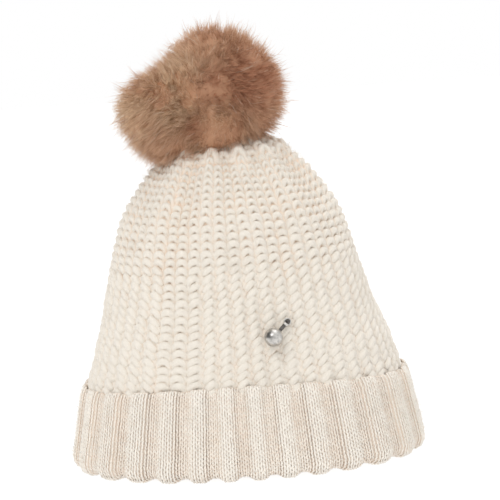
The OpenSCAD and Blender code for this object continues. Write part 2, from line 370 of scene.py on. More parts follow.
def crown_share(h):
    """Half width over its foot's at share h of the height: a Catmull-Rom curve through CROWN_LINE."""
    hs, ws = np.array(CROWN_LINE).T
    k = np.clip(np.searchsorted(hs, h, side="right") - 1, 0, len(hs) - 2)
    u = (h - hs[k]) / (hs[k + 1] - hs[k])
    p, q, r, s = (ws[np.clip(k + n, 0, len(hs) - 1)] for n in (-1, 0, 1, 2))
    bend = (r - p) * u + (2 * p - 5 * q + 4 * r - s) * u ** 2 + (3 * q - p - 3 * r + s) * u ** 3
    return 0.5 * (2 * q + bend)


def crown_cloth(inset):
    """The crown, an inset inside its outer face, from the foot to the gathered hole."""
    h = np.linspace(0, CROWN_LINE[-1][0], 300)
    foot = (CUFF_B - BAND_IN) / (CUFF_A - BAND_IN)
    a = (CUFF_A - BAND_IN) * crown_share(h)
    b = a * (foot + (TOP_ROUND - foot) * h ** 1.5)
    z = CROWN_FOOT + (CROWN_TOP - CROWN_FOOT) * h
    slope = np.gradient(a, z)
    lift = inset * slope / np.hypot(slope, 1)
    inward = inset / np.hypot(slope, 1)
    u = np.linspace(0, 1, 24)[1:]
    a = np.concatenate([a - inward, (a[-1] - inward[-1]) * (1 - u) + GATHER_R * u])
    b = np.concatenate([b - inward, (b[-1] - inward[-1]) * (1 - u) + GATHER_R * u])
    rise = CROWN_TOP - 1.5 - z[-1] - lift[-1]
    c = np.concatenate([-TOP_LEAN * h ** 2, np.full(len(u), -TOP_LEAN)])
    z = np.concatenate([z + lift, z[-1] + lift[-1] + rise * (1 - (1 - u) ** 2)])
    return Cloth(a, b, c, z)


PROFILE_STEPS = 240
SOFT_CORNER = 13           # steps of the window that rounds a profile's corners


def profile_cloth(stations, lift=None):
    """A cuff layer through stations of (inset from the fold's outside, height), smoothed at corners."""
    inset, z = np.array(stations, float).T
    gone = np.concatenate([[0], np.cumsum(np.hypot(np.diff(inset), np.diff(z)))])
    m = np.linspace(0, gone[-1], PROFILE_STEPS)
    window = np.hanning(SOFT_CORNER) / np.hanning(SOFT_CORNER).sum()
    pad = SOFT_CORNER // 2
    inset = np.convolve(np.pad(np.interp(m, gone, inset), pad, "edge"), window, "valid")
    z = np.convolve(np.pad(np.interp(m, gone, z), pad, "edge"), window, "valid")
    return Cloth(CUFF_A - inset, CUFF_B - inset, np.zeros(PROFILE_STEPS), z, lift)


# ---------- knitting ----------


def wander(count, wales, share, size):
    """Uneven tension: a random value per stitch, running smoothly from one stitch to the next."""
    deal = rng.normal(0, size, (count, wales))
    p = np.broadcast_to(share, (count, share.shape[-1])) * wales
    low = np.floor(p).astype(int)
    part = p - low
    row = np.arange(count)[:, None]
    return deal[row, low % wales] * (1 - part) + deal[row, (low + 1) % wales] * part


UV_STEP = 3.7              # moves the yarn's fibres on from one course to the next


def knit(name, cloth, courses, pitch, wales, look, body, material, steps=14, sides=8):
    """Interlocked loops of yarn, one closed ring of yarn per course.

    Along a course p counts stitches, and f = 2 pi p. The yarn lies at stitch p + wide sin 2f +
    broad sin f, course q = j + 0.5 + tall cos f + lean sin 2f, and depth sign deep cos 2f + nod cos f
    + relief. look(s, m) gives those numbers, the yarn's radius and the painted shade, which is how far the
      painted hollow colour reaches up the yarn.
    """
    j = np.asarray(courses, float)[:, None]
    p = np.arange(wales * steps) / steps
    f = TURN * p[None, :]
    s0 = np.broadcast_to(p / wales, (len(j), len(p)))
    m0 = (j + 0.5) * pitch
    part = look(s0, np.broadcast_to(m0, s0.shape), wales)
    s = p + part["wide"] * np.sin(2 * f) + part["broad"] * np.sin(f)
    s = (s + wander(len(j), wales, s0, part["uneven"])) / wales
    q = part["tall"] * np.cos(f) + part["lean"] * np.sin(2 * f)
    q = q + wander(len(j), wales, s0, part["uneven"])
    m = m0 + q * pitch
    s = part["spread"](s)
    d = part["sign"] * part["deep"] * np.cos(2 * f) + part["nod"] * np.cos(f) + part["relief"]
    d = d + wander(len(j), wales, s0, part["uneven"] * 2)
    radius = part["radius"] * (1 + wander(len(j), wales, s0, 0.05))
    m = np.clip(m, radius * 0.4, cloth.length - radius * 0.4)
    centre = cloth.off(s, m, d)
    points, outward = tube_rings(centre, cloth.facing(s, m), radius, sides)
    ring, corner_i, corner_k = grid_faces(len(p), sides)
    per = len(p) * sides
    faces = np.concatenate([ring + per * n for n in range(len(j))])
    span = np.stack([corner_i / steps, corner_k / sides], -1)
    uv = np.concatenate([span + [UV_STEP * n, 0] for n in range(len(j))])
    # crest: how far out on the yarn a point lies, 1 on its outside. The painted shade of each place pulls it
    # lower, so the finish paints more crevice shade there.
    crest = d[..., None] - part["relief"][..., None] + radius[..., None] * outward
    crest = (crest / (part["radius"][..., None] + part["deep"]) + 1) / 2 - part["shade"][..., None]
    return new_piece(name, points.reshape(-1, 3), [faces], body, material,
                     uv=uv.reshape(-1, 2), values={"crest": crest})


def backing(name, cloth, low, high, outer, inner, body, material, relief, rounds, rows, crest):
    """The yarn behind the loops: a thin closed layer between two depths, from m low to high."""
    s = np.arange(rounds) / rounds
    m = np.linspace(low, high, rows)
    loop_m = np.concatenate([m, m[::-1]])
    depth = np.concatenate([np.full(rows, outer), np.full(rows, inner)])
    grid_s, grid_m = np.meshgrid(s, loop_m, indexing="ij")
    d = np.broadcast_to(depth, grid_s.shape) + relief(grid_s, grid_m)
    points = cloth.off(grid_s, grid_m, d)
    faces, corner_i, corner_k = grid_faces(rounds, 2 * rows)
    uv = np.stack([corner_i, corner_k], -1) * 0.5
    # One crest value for the whole layer: the lower it is, the more of the finish's painted crevice shade it
    # takes.
    crest = np.full(rounds * 2 * rows, crest)
    return new_piece(name, points.reshape(-1, 3), [faces[:, ::-1]], body, material,
                     uv=uv[:, ::-1].reshape(-1, 2), values={"crest": crest})


# ---------- crown ----------

KNIT_WALES = 52
KNIT_PITCH = 4.7
KNIT_IN = 2.5
LADDER_AT = 0.418          # share round of the two straight columns
SLANT_TOP = 118.0          # height where the slanted field gives way to straight columns
NARROW = 36                # half width below which the stitches are halved
GATHER_PLEATS = 11


def ease(low, high, v):
    """0 below low, 1 above high, smooth between."""
    u = np.clip((v - low) / (high - low), 0, 1)
    return u * u * (3 - 2 * u)


def hump(points, place, reach):
    """A bell round a place: exp of minus the squared distance over the squared reach."""
    away = np.sum((points - np.array(place)) ** 2, -1)
    return np.exp(-away / reach ** 2)


crown = crown_cloth(KNIT_IN)


# Soft folds of the crown, each a line between two places
FURROWS = (((-26, -40, 168), (-50, -58, 104)), ((8, -42, 170), (33, -60, 108)),
           ((26, 40, 166), (42, 56, 112)), ((-24, 40, 168), (-40, 58, 118)))


def furrow(points, top, foot, reach):
    """A valley along a line: exp of minus the squared distance from the segment over the squared reach."""
    top = np.array(top, float)
    run = np.array(foot) - top
    along = np.clip(np.sum((points - top) * run, -1) / np.sum(run * run), 0, 1)
    away = np.sum((points - top - along[..., None] * run) ** 2, -1)
    return np.exp(-away / reach ** 2) * (1 - 0.5 * along)


def slump(s, m):
    """Unevenness of the crown as it hangs: slow waves, folds, and pleats drawn into the gather."""
    waves = 0.7 * np.sin(TURN * (3 * s + 0.1) + m / 31) + 0.5 * np.sin(TURN * (5 * s + 0.4) - m / 23)
    at = crown.at(s, m)
    folds = 3.4 * sum(furrow(at, top, foot, 9.5) for top, foot in FURROWS)
    pleats = 1.3 * np.cos(TURN * GATHER_PLEATS * s + 1.3 * np.sin(TURN * 2 * s)) * ease(70, 110, m)
    hang = (waves - folds) * ease(2, 30, m) * ease(8, 50, crown.length - m)
    return hang + pleats * ease(4, 20, crown.length - m)


def crown_look(s, m, wales):
    """Stitch shape over the crown: slanted fields low down, straight columns above and in the ladder."""
    a, b, _, z = crown.size(m)
    girth = TURN * np.sqrt((a * a + b * b) / 2)
    width = girth / wales
    low = 1 - ease(SLANT_TOP - 12, SLANT_TOP + 10, z)
    from_ladder = (s - LADDER_AT + 0.5) % 1 - 0.5
    side = np.where(from_ladder > 0, 1.0, -1.0) * ease(0.016, 0.034, np.abs(from_ladder))
    side = side * ease(0.0, 0.03, 0.5 - np.abs(from_ladder))
    # The fold valleys of the slump get painted shade: the deeper the valley, the more crevice colour.
    return {"wide": 0.06, "broad": 0.075, "tall": 0.62, "lean": 0.36 * low * side, "sign": 1.0,
            "deep": 0.5, "nod": 0.8, "relief": slump(s, m), "shade": np.clip(-slump(s, m) / 20, 0, 0.12),
            "radius": np.minimum(2.55, 0.29 * width), "uneven": 0.045, "spread": lambda share: share}


def knit_crown():
    """The crown in bands of courses, with half the stitches near the gather."""
    # The first colour is the painted crevice shade, warmer than the cream of the crests.
    cream = wool("crown_wool", (0.90, 0.71, 0.55), (0.80, 0.74, 0.65), 1.6, low=0.3, high=0.9)
    total = int(crown.length / KNIT_PITCH)
    heights = np.array([crown.size((j + 0.5) * KNIT_PITCH)[0] for j in range(total)])
    narrow = int(np.argmax(heights < NARROW))
    third = narrow // 3
    bands = [("crown_knit_low", range(0, third), KNIT_WALES),
             ("crown_knit_middle", range(third, 2 * third), KNIT_WALES),
             ("crown_knit_high", range(2 * third, narrow), KNIT_WALES),
             ("crown_knit_top", range(narrow, total), KNIT_WALES // 2)]
    made = [knit(name, crown, rows, KNIT_PITCH, wales, crown_look, "hat", cream)
            for name, rows, wales in bands]
    # The crown's backing, seen through the stitches, is given nearly all painted crevice shade.
    made.append(backing("crown_backing", crown, 0.5, crown.length - 0.3, 0.5, -0.4, "hat",
                        cream, relief=slump, rounds=240, rows=60, crest=0.3))
    for piece in made:
        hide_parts("crown_body")


# ---------- cuff ----------

RIBS = 28
RIB_WALES = 6              # three raised and three sunk in each rib
RIB_PITCH = 2.1
RIB_CROWD = 0.0135         # how much closer the ribs stand at the front and back
RIB_RISE = 1.25
RIB_FADE = 9               # run of a layer's foot over which the ribs rise
EDGE_LIFT = 4.5            # how far the turned-up edge rides up at the front and back


def crowd(s):
    """Ribs closer at the front and back, wider at the sides."""
    return s - RIB_CROWD * np.sin(2 * TURN * s)


def rib_wave(share):
    """1 on the raised stitches of each rib, -1 on the sunk ones, rounded between."""
    part = (share * RIBS + 0.1) % 1
    up = ease(0, 0.28, part) * (1 - ease(0.54, 0.82, part))
    return 2 * up - 1


def rib_look(s, m, _wales):
    """Stitches of the rib: each shows its two legs as a V, with its head behind."""
    # The sunk stitches of each rib get painted shade, so they take more crevice colour than the raised ones.
    return {"wide": 0.21, "broad": 0.0, "tall": 0.85, "lean": 0.0, "sign": -1.0, "deep": 0.6,
            "nod": 0.1, "relief": RIB_RISE * rib_wave(s) * ease(0, RIB_FADE, m),
            "shade": 0.09 * (1 - rib_wave(s)), "radius": np.full(s.shape, 0.64), "uneven": 0.04,
            "spread": crowd}


def rib_relief(s, m):
    """The backing follows the ribs: the crowded share is solved back by one step."""
    return RIB_RISE * rib_wave(s + RIB_CROWD * np.sin(2 * TURN * s)) * ease(0, RIB_FADE, m)


# Stations of the two layers: inset from the fold's outside, and height
TURN_UP = ((14.6, 4.2), (12.5, 2.3), (6, 2.3), (3.6, 3.4), (2.4, 7), (9.6, 44), (11.6, 47.8))
BAND = ((14.7, 4.0), (14.9, 9), (14.3, 14), (14.3, 43.8))


def cuff_lift(s, m):
    """The turned-up edge rides higher at the front and back than over the ears."""
    return EDGE_LIFT * ease(12, 56, m) * (0.5 + 0.5 * np.cos(2 * TURN * s))


def knit_cuff():
    """The turn-up with its fold on the sliding cuff, and the inner band on the hat."""
    # The first colour is the painted crevice shade, the second the cream of the crests.
    ribbed = wool("rib_wool", (0.88, 0.72, 0.58), (0.98, 0.92, 0.83), 2.4, low=0.35, high=0.85)
    total = RIBS * RIB_WALES
    outer = profile_cloth(TURN_UP, lift=cuff_lift)
    rows = int(outer.length / RIB_PITCH)
    fold = 6
    split = (rows + fold) // 2
    made = [knit("cuff_knit_fold", outer, range(0, fold), RIB_PITCH, total, rib_look, "cuff",
                 ribbed, steps=8, sides=4),
            knit("cuff_knit_lower", outer, range(fold, split), RIB_PITCH, total, rib_look, "cuff",
                 ribbed, steps=9, sides=5),
            knit("cuff_knit_upper", outer, range(split, rows), RIB_PITCH, total, rib_look, "cuff",
                 ribbed, steps=9, sides=5),
            # The backing, seen between the stitches, is partly in painted crevice shade.
            backing("cuff_backing", outer, 0.4, outer.length - 0.6, -0.1, -0.8, "cuff", ribbed,
                    relief=rib_relief, rounds=560, rows=26, crest=0.55)]
    for piece in made:
        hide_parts("cuff_turn_up")
    inner = profile_cloth(BAND)
    rows = int(inner.length / RIB_PITCH)
    band = [knit("band_knit", inner, range(rows), RIB_PITCH, total, rib_look, "hat", ribbed,
                 steps=7, sides=4),
            # The band's backing is partly in painted crevice shade.
            backing("band_backing", inner, 0.4, inner.length - 0.4, -0.1, -0.8, "hat", ribbed,
                    relief=rib_relief, rounds=560, rows=16, crest=0.55)]
    for piece in band:
        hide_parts("cuff_inner_band")
    return outer


# ---------- hairs ----------

STRAND_AT = np.array((0, 0.4, 0.75, 1.0))      # where a hair's rings stand along it
STRAND_TAPER = np.array((1.0, 0.85, 0.5))      # its radius at each ring but the tip
STRAND_POINTS = 10         # three rings of three, and the tip


def strands(line, thick, deal):
    """Three-sided tapered hairs: rings of three points round each line's stations, and one at the tip."""
    count = len(line)
    along = unit(line[:, -1] - line[:, 0])
    across = unit(np.cross(along, unit(deal.normal(size=(count, 3)))))
    other = np.cross(along, across)
    f = TURN * np.arange(3) / 3
    ring = across[:, None] * np.cos(f)[:, None] + other[:, None] * np.sin(f)[:, None]
    taper = thick[:, None] * STRAND_TAPER
    rings = line[:, :3, None] + taper[..., None, None] * ring[:, None]
    return np.concatenate([rings.reshape(count, 9, 3), line[:, 3:4]], 1)


def strand_faces(count):
    """Two bands of three quads, three triangles to the tip and one over the root, for each hair."""
    k = np.arange(3)
    nxt = (k + 1) % 3
    sides = np.concatenate([np.stack([r * 3 + k, r * 3 + nxt, r * 3 + 3 + nxt, r * 3 + 3 + k], 1)
                            for r in (0, 1)])
    caps = np.concatenate([np.stack([6 + k, 6 + nxt, np.full(3, 9)], 1), [[2, 1, 0]]])
    first = np.arange(count)[:, None, None] * STRAND_POINTS
    return [(sides[None] + first).reshape(-1, 4), (caps[None] + first).reshape(-1, 3)]


def fuzz(name, cloth, count, low, high, out, body, material, wave):
    """Loose wool fibres: short arcs along the cloth, each rising by height 4 u (1 - u) between its ends."""
    deal = np.random.default_rng(23)
    s = deal.uniform(0, 1, count)
    m = deal.uniform(low, high, count)
    root = cloth.off(s, m, out + wave(s, m))
    facing = cloth.facing(s, m)
    aim = np.cross(facing, unit(deal.normal(size=(count, 3))))
    aim = unit(aim + facing * deal.uniform(0, 0.7, (count, 1)))
    reach = deal.uniform(2.5, 7.0, (count, 1, 1))
    u = STRAND_AT[:, None]
    arc = facing[:, None] * deal.uniform(0.2, 1.4, (count, 1, 1)) * 4 * u * (1 - u)
    side = unit(np.cross(aim, facing))[:, None] * deal.normal(0, 0.9, (count, 1, 1)) * 4 * u * (1 - u)
    line = root[:, None] + aim[:, None] * reach * u + arc + side
    points = strands(line, deal.uniform(0.045, 0.075, count), deal)
    new_piece(name, points.reshape(-1, 3), strand_faces(count), body, material)


# ---------- fur ----------

# Middle and reach of each tuft mass of the pompom
MASSES = (((-8, -6, 232), 21.5), ((6, -5, 223), 23.5), ((12, -7, 207), 23.5), ((-40, -8, 204), 25.0),
          ((-7, -17, 194), 23.0), ((-32, -14, 191), 21.0), ((1, 11, 211), 29.5),
          ((-22, 11, 205), 29.5), ((-7, -5, 212), 32.0))
MELT = 8.0                 # how far neighbouring masses run together
HAIRS = 40500
CLUMPS = 900
BURIED = 6.5               # how deep in a neighbour a dealt point may lie before it is dropped
HAIR_HEART = (-11, -4, 208.0)
CORE_HEART = (-11, -4, 211.0)
CORE_DEPTH = 6.5           # how far the underfur lies inside the outside
# Places and reaches of the paler and the darker patches of the fur
PALE_SPOTS = (((-28, -25, 226), 16), ((-55, -18, 203), 15), ((-6, -44, 200), 9), ((-30, -35, 205), 10))
DARK_SPOTS = (((18, -22, 218), 17), ((-2, -32, 214), 12), ((-22, -34, 196), 7))


def fur_depth(points):
    """Signed distance to the pompom's outside, negative within: masses joined by a soft minimum."""
    total = np.zeros(len(points))
    for middle, reach in MASSES:
        away = np.linalg.norm(points - np.array(middle, float), axis=-1) - reach
        total += np.exp(-away / MELT * 2)
    return -np.log(total) * MELT / 2


def fur_out(points):
    """Outward direction: the gradient of the signed distance."""
    step = 0.4 * np.eye(3)
    return unit(np.stack([fur_depth(points + e) - fur_depth(points - e) for e in step], -1))


def crown_top_at(x, y):
    """Height of the crown's outside over a place near the gather."""
    u = np.linspace(0, 1, 400)
    a, b, _, z = crown.size(u * crown.length)
    reach = np.hypot(x + TOP_LEAN, y)
    return np.interp(reach, ((a + b) / 2 + KNIT_IN)[::-1], (z + 1.5)[::-1], right=-1e3)


def scatter_on_fur(count, level, deal):
    """Random points on the surface at a depth, even by area: dealt on each mass, then drawn to it."""
    area = np.array([reach ** 2 for _, reach in MASSES])
    share = deal.choice(len(MASSES), count * 3, p=area / area.sum())
    aim = unit(deal.normal(size=(count * 3, 3)))
    middle = np.array([m for m, _ in MASSES], float)[share]
    points = middle + aim * (np.array([r for _, r in MASSES])[share] + level)[:, None]
    keep = fur_depth(points) > level - BURIED
    points = points[keep][:count]
    for _ in range(4):
        points = points - fur_out(points) * (fur_depth(points) - level)[:, None]
    return points


def grow_fur():
    """Tapered three-sided hairs in clumps, each a bent line from its root to its tip.

    A hair's point at share u is root + (tip - root) u + 4 bend u (1 - u). Its radius falls as
    STRAND_TAPER, and its tip is drawn towards the middle of its clump.
    """
    fur = fur_finish()
    deal = np.random.default_rng(11)
    tips = scatter_on_fur(HAIRS, 0.0, deal)
    count = len(tips)
    depth = deal.uniform(0, 1, count) ** 2 * -7.0 + deal.normal(0.4, 1.2, count)
    out = fur_out(tips)
    heart = unit(tips - np.array(HAIR_HEART))
    out = unit(out * 0.55 + heart * 0.45)
    clump = scatter_on_fur(CLUMPS, 0.0, deal)[:CLUMPS]
    nearest = np.argmin(((tips[:, None] - clump[None]) ** 2).sum(-1), 1)
    lean = deal.normal(0, 0.15, (CLUMPS, 3))[nearest]
    sweep = np.stack([np.sin(tips[:, 1] / 9 + tips[:, 2] / 13), np.sin(tips[:, 2] / 11 + tips[:, 0] / 14),
                      np.sin(tips[:, 0] / 10 + tips[:, 1] / 12)], -1) * 0.22
    droop = np.array((0, 0, -0.10))
    out = unit(out + lean + sweep + droop + deal.normal(0, 0.09, (count, 3)))
    draw = clump[nearest] - tips
    tips = tips + draw * deal.uniform(0.0, 0.35, (count, 1)) + out * depth[:, None]
    guard = deal.uniform(size=count) < 0.12
    reach = deal.uniform(14, 20, count)
    tips = tips + out * (guard * deal.uniform(0.5, 7.0, count))[:, None]
    floor = crown_top_at(tips[:, 0], tips[:, 1]) + 1.0
    low = tips[:, 2] < floor
    tips[:, 2] = np.where(low, floor, tips[:, 2])
    root = tips - out * reach[:, None]
    bend = np.cross(out, unit(deal.normal(size=(count, 3)))) * deal.uniform(0.5, 2.6, (count, 1))
    u = STRAND_AT
    line = root[:, None] + (tips - root)[:, None] * u[:, None] + bend[:, None] * (u * (1 - u) * 4)[:, None]
    points = strands(line, deal.uniform(0.12, 0.19, count) * np.where(guard, 0.75, 1), deal)
    grown = np.broadcast_to(np.concatenate([np.repeat(u[:3], 3), u[3:]]), (count, STRAND_POINTS))
    one = np.broadcast_to(deal.uniform(0, 1, count)[:, None], (count, STRAND_POINTS))
    pale = np.clip(sum(hump(tips, *spot) for spot in PALE_SPOTS), 0, 1)
    dark = np.clip(sum(hump(tips, *spot) for spot in DARK_SPOTS), 0, 1)
    tone = np.broadcast_to((0.5 + 0.7 * pale - 0.7 * dark)[:, None], (count, STRAND_POINTS))
    straw = guard & (deal.uniform(size=count) < 0.08)
    straw = np.broadcast_to(straw[:, None] * 1.0, (count, STRAND_POINTS))
    lots = np.array_split(np.argsort(tips[:, 0], kind="stable"), 4)
    names = ("fur_right_side", "fur_right", "fur_left", "fur_left_side")
    made = []
    for name, lot in zip(names, lots):
        faces = strand_faces(len(lot))
        values = {"grown": grown[lot], "one": one[lot], "tone": tone[lot], "straw": straw[lot]}
        made.append(new_piece(name, points[lot].reshape(-1, 3), faces, "pompom", fur, values=values))
    made.append(fur_core(fur))
    for piece in made:
        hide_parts("pom_fur")


def fur_core(fur):
    """The dense underfur: a closed ball whose radius is marched out to a depth inside the hairs."""
    rounds, rows = 96, 48
    lon = TURN * np.arange(rounds) / rounds
    lat = np.linspace(-1, 1, rows + 2)[1:-1] * math.pi / 2
    grid_lat, grid_lon = np.meshgrid(lat, lon, indexing="ij")
    aim = np.stack([np.cos(grid_lat) * np.cos(grid_lon), np.cos(grid_lat) * np.sin(grid_lon),
                    np.sin(grid_lat)], -1).reshape(-1, 3)
    ends = np.array([(0, 0, -1), (0, 0, 1.0)])
    aim = np.concatenate([aim, ends])
    heart = np.array(CORE_HEART)
    gone = np.full(len(aim), 6.0)
    for _ in range(40):
        at = heart + aim * gone[:, None]
        gone = np.clip(gone - (fur_depth(at) + CORE_DEPTH) * 0.6, 4, 60)
    points = heart + aim * gone[:, None]
    points[:, 2] = np.maximum(points[:, 2], crown_top_at(points[:, 0], points[:, 1]) + 1.2)
    faces, _, _ = grid_faces(rows, rounds, close_rows=False)
    k = np.arange(rounds)
    nxt = (k + 1) % rounds
    south = np.stack([nxt, k, np.full(rounds, rows * rounds)], 1)
    north = np.stack([(rows - 1) * rounds + k, (rows - 1) * rounds + nxt,
                      np.full(rounds, rows * rounds + 1)], 1)
    flat = np.zeros(len(points))
    values = {"grown": flat + 0.25, "one": flat + 0.5, "tone": flat + 0.5, "straw": flat}
    return new_piece("fur_underfur", points, [faces, south, north], "pompom", fur, values=values)


def fur_finish():
    """Fur colour: dark at the root, tan at the tip, paler in patches to the upper left and front, redder to
    the right, in soft patches.
    """
    finish = Finish("fur_hair", Roughness=0.5, Specular_IOR_Level=0.3)
    grown = finish.value("grown")
    one = finish.value("one")
    patch = finish.noise(38.0, 2.0)
    light = (finish.value("tone") + (patch - 0.5) * 0.7 + (one - 0.5) * 0.3).between(0.1, 0.95)
    root = finish.blend(light, (0.28, 0.11, 0.06), (0.54, 0.32, 0.18))
    middle = finish.blend(light, (0.46, 0.20, 0.11), (0.73, 0.49, 0.31))
    tip = finish.blend(light, (0.64, 0.33, 0.20), (0.86, 0.65, 0.45))
    tint = finish.blend(grown.between(0.1, 0.6), root, middle)
    tint = finish.blend(grown.between(0.55, 1.0), tint, tip)
    tint = finish.blend(finish.value("straw"), tint, (0.85, 0.72, 0.58))
    return finish.feed(Base_Color=tint)


# ---------- inside the hat ----------

SEAM_Z = 41.8              # middle of the linking seam, under the inner band's top
SEAM_R = 1.1
LABEL_Y = 58.9
LABEL_TOP = 41.8
LABEL_W = 24.0
LABEL_H = 18.0
LABEL_T = 0.4
LABEL_FOLD = 0.44          # radius of its fold
SEAM_IN = 4.3              # from the inner band's outside to the linking seam
BACK_IN = 4.2              # from the crown's middle to the back seam
BACK_R = 0.75
GATHER_YARN_R = 1.2
TWIST_SIDES = 6


def twisted(name, centre, up, radius, plies, turns, body, material):
    """Plies laid round a closed path: ply k's middle is at angle 2 pi (turns i / n + k / plies)."""
    n = len(centre)
    along = unit(np.roll(centre, -1, 0) - np.roll(centre, 1, 0))
    up = unit(up - along * np.sum(up * along, -1, keepdims=True))
    across = np.cross(along, up)
    points, faces, uv = [], [], []
    ring, corner_i, corner_k = grid_faces(n, TWIST_SIDES)
    for k in range(plies):
        f = TURN * (turns * np.arange(n) / n + k / plies)[:, None]
        lay = centre + radius * 0.48 * (np.cos(f) * up + np.sin(f) * across)
        tube, _ = tube_rings(lay, up, np.full(n, radius * 0.56), TWIST_SIDES)
        points.append(tube.reshape(-1, 3))
        faces.append(ring + k * n * TWIST_SIDES)
        uv.append(np.stack([corner_i / 8, corner_k / TWIST_SIDES], -1))
    # A middling crest value: the finish mixes some of its painted crevice shade into the seam yarn.
    values = {"crest": np.full(plies * n * TWIST_SIDES, 0.6)}
    return new_piece(name, np.concatenate(points), [np.concatenate(faces)], body, material,
                     uv=np.concatenate(uv).reshape(-1, 2), values=values)


def sew_seams():
    """The linking seam, the back seam and the drawn yarn of the gather, all in twisted yarn."""
    # The first colour is the painted crevice shade of the seam yarn.
    yarn = wool("seam_wool", (0.66, 0.52, 0.40), (0.84, 0.76, 0.64), 2.0)
    n = 1200
    s = np.arange(n) / n
    half_a = CUFF_A - BAND_IN - SEAM_IN - SEAM_R
    half_b = CUFF_B - BAND_IN - SEAM_IN - SEAM_R
    t = oval_angle(s, half_b / half_a)
    ring = np.stack([half_a * bent(np.cos(t), ROUND), half_b * bent(np.sin(t), ROUND),
                     SEAM_Z + 0.25 * np.sin(TURN * 98 * s)], -1)
    up = np.broadcast_to(np.array((0, 0, 1.0)), ring.shape)
    seam = twisted("linking_seam_yarn", ring, up, SEAM_R, 2, 150, "hat", yarn)
    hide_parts("linking_seam")
    low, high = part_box("back_seam")
    half = 300
    run = np.concatenate([np.linspace(0, 1, half), np.linspace(1, 0, half)])
    side = np.concatenate([np.full(half, BACK_R), np.full(half, -BACK_R)])
    side = np.convolve(np.concatenate([side[-4:], side, side[:4]]), np.full(9, 1 / 9), "valid")
    z = low.z / MM + 1.5 + run * ((high.z - low.z) / MM - 3)
    m = np.interp(z, crown.rows[3], crown.m)
    _, b, c, _ = crown.size(m)
    zigzag = 0.35 * np.sin(TURN * 30 * run)
    line = np.stack([c + side + zigzag, b - BACK_IN, z], -1)
    up = np.broadcast_to(np.array((0, -1.0, 0)), line.shape)
    back = twisted("back_seam_yarn", line, up, BACK_R, 2, 110, "hat", yarn)
    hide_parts("back_seam")
    low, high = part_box("gather_yarn")
    middle = (low + high) / 2 / MM
    reach = (high.x - low.x) / 2 / MM - 1.3
    n = 240
    f = TURN * np.arange(n) / n
    wobble = reach + 0.25 * np.cos(7 * f)
    loop = np.stack([middle.x + wobble * np.cos(f), wobble * np.sin(f), middle.z + 0.2 * np.sin(5 * f)], -1)
    up = np.broadcast_to(np.array((0, 0, 1.0)), loop.shape)
    gather = twisted("gather_drawn_yarn", loop, up, GATHER_YARN_R, 3, 12, "hat", yarn)
    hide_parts("gather_yarn")
    return seam


def hang_label(seam):
    """A blank folded tape: down one leaf, round the fold and up the other, bowed a little across."""
    fold = LABEL_FOLD
    down = np.linspace(LABEL_TOP, LABEL_TOP - LABEL_H, 24)
    bend = np.linspace(0, math.pi, 13)[1:-1]
    y = np.concatenate([np.full(24, fold), fold * np.cos(bend), np.full(24, -fold)])
    z = np.concatenate([down, down[-1] - fold * np.sin(bend), down[::-1]])
    path = np.stack([y, z], -1)
    along = np.gradient(path, axis=0)
    along = along / np.linalg.norm(along, axis=1, keepdims=True)
    normal = np.stack([-along[:, 1], along[:, 0]], -1)
    across = np.linspace(-0.5, 0.5, 25)
    x = np.concatenate([across, across[::-1]]) * LABEL_W
    side = np.concatenate([np.full(25, 0.5), np.full(25, -0.5)]) * LABEL_T * 0.9
    face = path[:, None] + normal[:, None] * side[None, :, None]
    low = (LABEL_TOP - face[..., 1]) / LABEL_H
    curl = -0.9 * low ** 2 * (1 - (2 * x / LABEL_W)[None] ** 2) - 0.5 * low
    points = np.stack([np.broadcast_to(x, face.shape[:2]), LABEL_Y + face[..., 0] + curl, face[..., 1]], -1)
    rows, columns = points.shape[:2]
    faces, _, _ = grid_faces(rows, columns, close_rows=False)
    k = np.arange(24)
    first = np.stack([k, columns - 1 - k, columns - 2 - k, k + 1], 1)
    last = (first + (rows - 1) * columns)[:, ::-1]
    label = new_piece("care_label_tape", points.reshape(-1, 3), [faces, first, last], "hat",
                      woven("label_weave"))
    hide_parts("care_label")


# ---------- finishes of the small pieces ----------


def metal(name, base, rough, grime):
    """Worn metal: a tarnish in soft blots, tiny scratches in the gloss."""
    finish = Finish(name, Metallic=1.0)
    blots = finish.noise(700.0, 4.0)
    fine = finish.noise(5000.0, 2.0)
    tint = finish.blend((blots * 1.2).between(0.45, 0.75), base, tuple(c * grime for c in base))
    normal = finish.bump(fine, 0.12, 0.00005)
    return finish.feed(Base_Color=tint, Roughness=blots * 0.25 + rough, Normal=normal)


def woven(name):
    """Satin tape: crossing waves of warp and weft."""
    finish = Finish(name, Sheen_Weight=0.2, Specular_IOR_Level=0.4)
    height = finish.wave("X", 900.0) * 0.5 + finish.wave("Z", 1100.0) * 0.5
    tint = finish.blend(height.between(0.1, 0.9), (0.74, 0.70, 0.64), (0.86, 0.83, 0.78))
    normal = finish.bump(height, 0.4, 0.0001)
    return finish.feed(Base_Color=tint, Roughness=height * 0.15 + 0.5, Normal=normal)


def blotched(name, dark, light, scale, rough, rise, **constants):
    """A grained finish: a fine noise for colour and height over a broad one for patches."""
    finish = Finish(name, **constants)
    broad = finish.noise(scale * 0.15, 3.0)
    fine = finish.noise(scale, 4.0, rough=0.65)
    tint = finish.blend((broad * 0.6 + fine * 0.5).between(0.3, 0.8), dark, light)
    return finish.feed(Base_Color=tint, Roughness=fine * 0.2 + rough, Normal=finish.bump(fine, 0.5, rise))


def spun(name, dark, light, scale):
    """Thread or cord: slanting waves of its twist, with fluff."""
    finish = Finish(name, Sheen_Weight=0.2, Specular_IOR_Level=0.2)
    lay = finish.wave("DIAGONAL", scale, 1.5)
    fluff = finish.noise(3000.0, 3.0)
    tint = finish.blend((lay * 0.7 + fluff * 0.3).between(0.1, 0.9), dark, light)
    return finish.feed(Base_Color=tint, Roughness=fluff * 0.2 + 0.7, Normal=finish.bump(lay, 0.7, 0.0003))


def coat(material, *nodes):
    """Gives CAD pieces their finish."""
    for node in nodes:
        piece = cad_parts[node]
        for slot in piece.material_slots:
            slot.material = material
        if not piece.material_slots:
            piece.data.materials.append(material)


